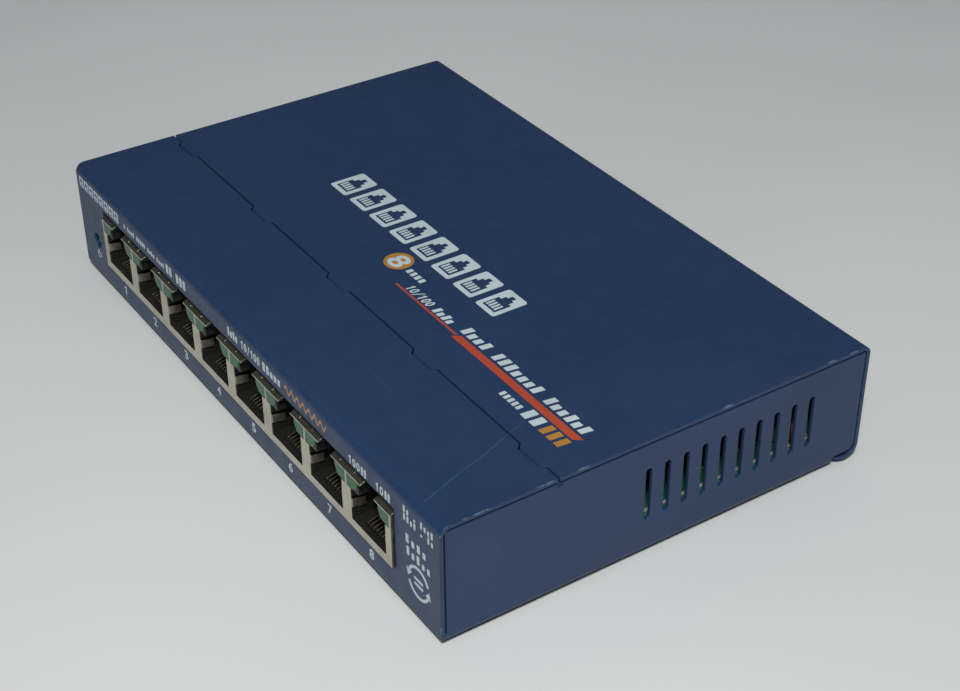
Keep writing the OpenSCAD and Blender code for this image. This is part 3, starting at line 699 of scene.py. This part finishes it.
def print_top(pale, orange, amber):
    """The cover's print, from the top's left front corner: sockets, port count, stripe, small print."""
    face = ("cover", (LEFT, FRONT, TOP), (1, 0, 0), (0, 1, 0))
    ink = Print("top_print_pale", pale, *face, proud=0.04)
    for k in range(PORTS):
        ink.socket(41.5 + k * 8.55, 44.6, 6.65, 8.8)
    ink.numbers("8", 76.9, 37.7, 82.1, 42.5, 0.05)
    ink.bars(83.2, 89.6, 39.1, (1.6, 1.6, 1.6, 1.6))
    ink.numbers("10/100", 88.6, 35.6, 97.6, 37.7, 0.2)
    ink.bars(99, 105.6, 35.6, (2.1, 1.5, 2.1, 1.5), 0.2)
    words = (TALL, SHORT, SHORT, TALL, 0, TALL, TALL, TALL, SHORT, SHORT, SHORT, TALL, 0,
             TALL, SHORT, SHORT, TALL, SHORT, TALL)
    ink.bars(108.6, 150.4, 36.3, words, 0.15)
    ink.bars(130.5, 137.3, 30.8, (1.5, 1.5, 1.5, 1.5, 1.5))
    ink.bars(138.2, 143.8, 30.4, (3, 3), 0.1)
    ink.done()
    stripe = Print("top_print_orange", orange, *face)
    stripe.shape([(86, 34.75), (109, 34.75), (109.6, 35.25), (86.4, 35.25)])
    stripe.shape([(109, 33.9), (150.0, 33.9), (151.4, 35.6), (110.3, 35.6)])
    stripe.done()
    spot = Print("top_print_amber", amber, *face)
    spot.shape(arc(79, 40.1, 3.3, 0, 360, 64)[:-1])
    spot.bars(144.1, 151.2, 30.4, (3, 3, 3), 0.1)
    spot.done()


def print_ring_arrows(ink, x, y, r):
    """Two arrows that chase each other round two short bars."""
    for start in (20, 200):
        head = start + 147
        tip = arc(x, y, r, head, head, 1)[0]
        ink.shape(band(x, y, r, 0.65, start, start + 135))
        ink.shape(arrow(*tip, head + 90, 1.1))
    ink.shape(box(x - 1.5, y + 0.35, x + 1.5, y + 0.95, 0.2))
    ink.shape(box(x - 1.5, y - 0.95, x + 1.5, y - 0.35, 0.2))


def print_front(pale, orange):
    """The front panel's print, from its left lower corner: legends, port numbers and symbols."""
    face = ("case", (LEFT, FRONT, BOTTOM), (1, 0, 0), (0, 0, 1))
    ink = Print("front_print_pale", pale, *face)
    for k in range(PORTS):
        ink.socket(1.6 + k * 2.8, 22.1, 2.2, 2.6)
    words = (1, 0, 1.2, 0.9, 0.9, 1.2, 0, 1.2, 1.2, 1.2, 1.2, 1.2, 0,
             1.2, 0.9, 1.2, 0.9, 0, 1.2, 0.9, 0.9, 1.2)
    ink.bars(26.4, 47.6, 22.6, words)
    ink.bars(48.4, 58.4, 22.3, (2.3, 2.3, 0, 2.3, 2.3, 2.3))
    ink.bars(77.6, 82.2, 22.5, (2.1, 1.5, 2.0, 1.5))
    ink.numbers("10/100", 83.4, 22.5, 91.8, 24.5)
    ink.bars(92.8, 100.6, 22.5, (2.1, 2.1, 1.5, 1.5, 1.5))
    ink.numbers("100", 126.6, 21.5, 131.0, 23.4)
    ink.bars(131.2, 133.4, 21.5, (1.9, 1.9), share=0.6)
    ink.numbers("10", 136.4, 21.5, 139.4, 23.4)
    ink.bars(139.6, 141.8, 21.5, (1.9, 1.9), share=0.6)
    for k in range(PORTS):
        ink.numbers(str(k + 1), 21.6 + PORT_PITCH * k, 2.85, 23.6 + PORT_PITCH * k, 5.15)
    ink.bars(146.0, 156.4, 23.0, (1.5, 1.1, 0, 0.5, 0, 1.5, 1.1, 1.1, 1.5), share=0.5)
    ink.bars(146.0, 156.4, 21.2, (1.5, 1.5, 1.1, 1.5, 0, 0.5, 0, 1.5, 1.1), share=0.5)
    ink.bars(146.6, 154.2, 16.5, (2.0, 1.4, 1.8, 1.4), share=0.5)
    ink.bars(146.8, 155.4, 13.7, (2.0, 1.4, 2.0, 1.2, 1.4), share=0.5)
    print_ring_arrows(ink, 150.6, 9.2, 3.4)
    ink.shape(band(8.1, 6.7, 0.85, 0.32, 130, 410))
    ink.shape(box(7.94, 6.8, 8.26, 7.95))
    ink.done()
    wave = Print("front_print_orange", orange, *face)
    line = [(101.9 + 0.14 * k, 23.5 + 0.7 * math.sin(0.385 * k)) for k in range(118)]
    half = 0.38
    wave.shape([(x, y + half) for x, y in line] + [(x, y - half) for x, y in reversed(line)])
    wave.done()


def print_rear(pale):
    """The polarity symbol beside the power inlet."""
    low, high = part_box("inlet_body")
    origin = (low.x, BACK, (low.z + high.z) / 2)
    ink = Print("rear_print_pale", pale, "cover", origin, (-1, 0, 0), (0, 0, 1))
    ink.shape(arc(7, 0, 0.62, 0, 360)[:-1])
    ink.shape(band(7, 0, 1.75, 0.4, -140, 140))
    ink.shape(box(8.95, -0.2, 10.6, 0.2))
    ink.shape(box(4.0, -0.2, 5.9, 0.2))
    for x in (3.1, 11.5):
        ink.shape(box(x - 0.8, -0.2, x + 0.8, 0.2))
    ink.shape(box(11.3, -0.8, 11.7, -0.25))
    ink.shape(box(11.3, 0.25, 11.7, 0.8))
    ink.done()


def print_label(dark):
    """Plain rules on the underside's label."""
    low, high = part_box("rating_label")
    wide, deep = (high.x - low.x) / MM, (high.y - low.y) / MM
    ink = Print("label_rules", dark, "case", (low.x, high.y, low.z), (1, 0, 0), (0, -1, 0), proud=0.02)
    ink.shape(box(1.5, 1.5, wide - 1.5, deep - 1.5, 1.2))
    ink.shape(box(1.8, 1.8, wide - 1.8, deep - 1.8, 1.0))
    for k in range(6):
        ink.shape(box(5, 6 + 4 * k, wide - (5 if k % 2 else 22), 6.35 + 4 * k))
    ink.done()


# ---------------------------------------------------------------- circuit board

board_low, board_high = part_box("main_board")
OUTLINED = ("switch_chip", "memory_chip", "voltage_regulator", "crystal_can", "choke_core", "input_fuse",
            "capacitor_1", "capacitor_2", "capacitor_3", "inlet_body", "lamp_holder",
            "line_transformer_1", "line_transformer_2", "line_transformer_3", "line_transformer_4")
TALL_PARTS = OUTLINED + ("heat_sink", "jack_shield", "transformer_pins", "chip_pins", "resistor_packs",
                         "power_lamp")
# Small two-ended parts, on a coarse grid between these limits; everything in millimetres
SMALL_PARTS = 90
SMALL_PART_GRID = 2.54
SMALL_PART_X = (-72, 72)
SMALL_PART_Y = (-22, 44)
PART_GAP = 1.8
NEIGHBOUR_GAP = 2.2
STANDOFF_AT = (70, 24)
STANDOFF_GAP = 6
# Start and end along a small part, half width and height
SMALL_BODY = (-0.55, 0.55, 0.38, 0.42)
SMALL_ENDS = ((-0.8, -0.5, 0.41, 0.45), (0.5, 0.8, 0.41, 0.45))
# Beside a small part: how far off its outline is, half its length, half the line's width
SILK_OFF, SILK_REACH, SILK_LINE = 0.7, 1.15, 0.06


def block(shape, low, high):
    """Adds a box between two corners to a bmesh, in metres."""
    made = bmesh.ops.create_cube(shape, size=1)["verts"]
    middle, size = (Vector(low) + Vector(high)) / 2, Vector(high) - Vector(low)
    for v in made:
        v.co = middle + Vector(v.co[i] * size[i] for i in range(3))


def small_part_places():
    """Free places on the board: x and y in metres, and whether the part lies along Y."""
    taken = [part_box(name) for name in TALL_PARTS]
    gap = PART_GAP * MM
    dice = random.Random(8)
    places = []
    while len(places) < SMALL_PARTS:
        x = round(dice.uniform(*SMALL_PART_X) / SMALL_PART_GRID) * SMALL_PART_GRID * MM
        y = round(dice.uniform(*SMALL_PART_Y) / SMALL_PART_GRID) * SMALL_PART_GRID * MM
        clear = all(
            x < low.x - gap or x > high.x + gap or y < low.y - gap or y > high.y + gap
            for low, high in taken)
        from_standoff = abs(abs(x) - STANDOFF_AT[0] * MM) + abs(abs(y) - STANDOFF_AT[1] * MM)
        fresh = all(abs(x - px) + abs(y - py) > NEIGHBOUR_GAP * MM for px, py, _ in places)
        if clear and from_standoff > STANDOFF_GAP * MM and fresh:
            places.append((x, y, dice.random() < 0.5))
    return places


def lay_block(shape, place, measures):
    """Adds a block of a small part, which lies along X or Y, to a bmesh."""
    x, y, along_y = place
    start, end, half, tall = (v * MM for v in measures)
    top = board_high.z
    if along_y:
        block(shape, (x - half, y + start, top), (x + half, y + end, top + tall))
    else:
        block(shape, (x + start, y - half, top), (x + end, y + half, top + tall))


def print_board(silk, places):
    """Outlines round the large parts and two lines beside each small one."""
    ink = Print("board_print", silk, "case", (0, 0, board_high.z), (1, 0, 0), (0, 1, 0), proud=0.02)
    for name in OUTLINED:
        low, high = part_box(name)
        x0, y0, x1, y1 = (v / MM for v in (low.x, low.y, high.x, high.y))
        if x0 - 1 > board_low.x / MM and y1 + 1 < board_high.y / MM:
            ink.shape(box(x0 - 0.8, y0 - 0.8, x1 + 0.8, y1 + 0.8, 0.3))
            ink.shape(box(x0 - 0.6, y0 - 0.6, x1 + 0.6, y1 + 0.6, 0.2))
    for x, y, along_y in places:
        x, y = x / MM, y / MM
        for off in (-SILK_OFF, SILK_OFF):
            if along_y:
                ink.shape(box(x + off - SILK_LINE, y - SILK_REACH, x + off + SILK_LINE, y + SILK_REACH))
            else:
                ink.shape(box(x - SILK_REACH, y + off - SILK_LINE, x + SILK_REACH, y + off + SILK_LINE))
    ink.done()


def board_details(silk, ceramic, solder):
    """Small parts, a soldered earth strip along each side of the board, and the board's print."""
    places = small_part_places()
    bodies, ends = bmesh.new(), bmesh.new()
    for place in places:
        lay_block(bodies, place, SMALL_BODY)
        for measures in SMALL_ENDS:
            lay_block(ends, place, measures)
    add_piece("small_part_bodies", bodies, ceramic, "case")
    add_piece("small_part_ends", ends, solder, "case")

    strips = bmesh.new()
    top = board_high.z
    for side in (-1, 1):
        middle = side * (board_high.x - 1.5 * MM)
        block(strips, (middle - 0.35 * MM, board_low.y + 5 * MM, top - 0.01 * MM),
              (middle + 0.35 * MM, board_high.y - 5 * MM, top + 0.06 * MM))
    add_piece("earth_strips", strips, solder, "case")
    print_board(silk, places)


make_camera()
make_room()
make_key_light()
looks = make_looks()
dress_frame(looks)
pale_ink = printed("pale_ink", (0.60, 0.72, 0.76))
orange_ink = printed("orange_ink", (0.52, 0.075, 0.035), 0.3)
amber_ink = printed("amber_ink", (0.50, 0.235, 0.045), 0.3)
print_top(pale_ink, orange_ink, amber_ink)
print_front(pale_ink, printed("ochre_ink", (0.50, 0.25, 0.11), 0.4))
print_rear(pale_ink)
print_label(printed("label_ink", (0.03, 0.03, 0.035), 0.3))
solder = bright_metal("solder", (0.72, 0.72, 0.68), 0.36, 0.5, metal=0.5)
board_details(printed("board_ink", (0.62, 0.64, 0.58), 0.3), looks["resistor_ceramic"], solder)
make_floor(studio_paper())
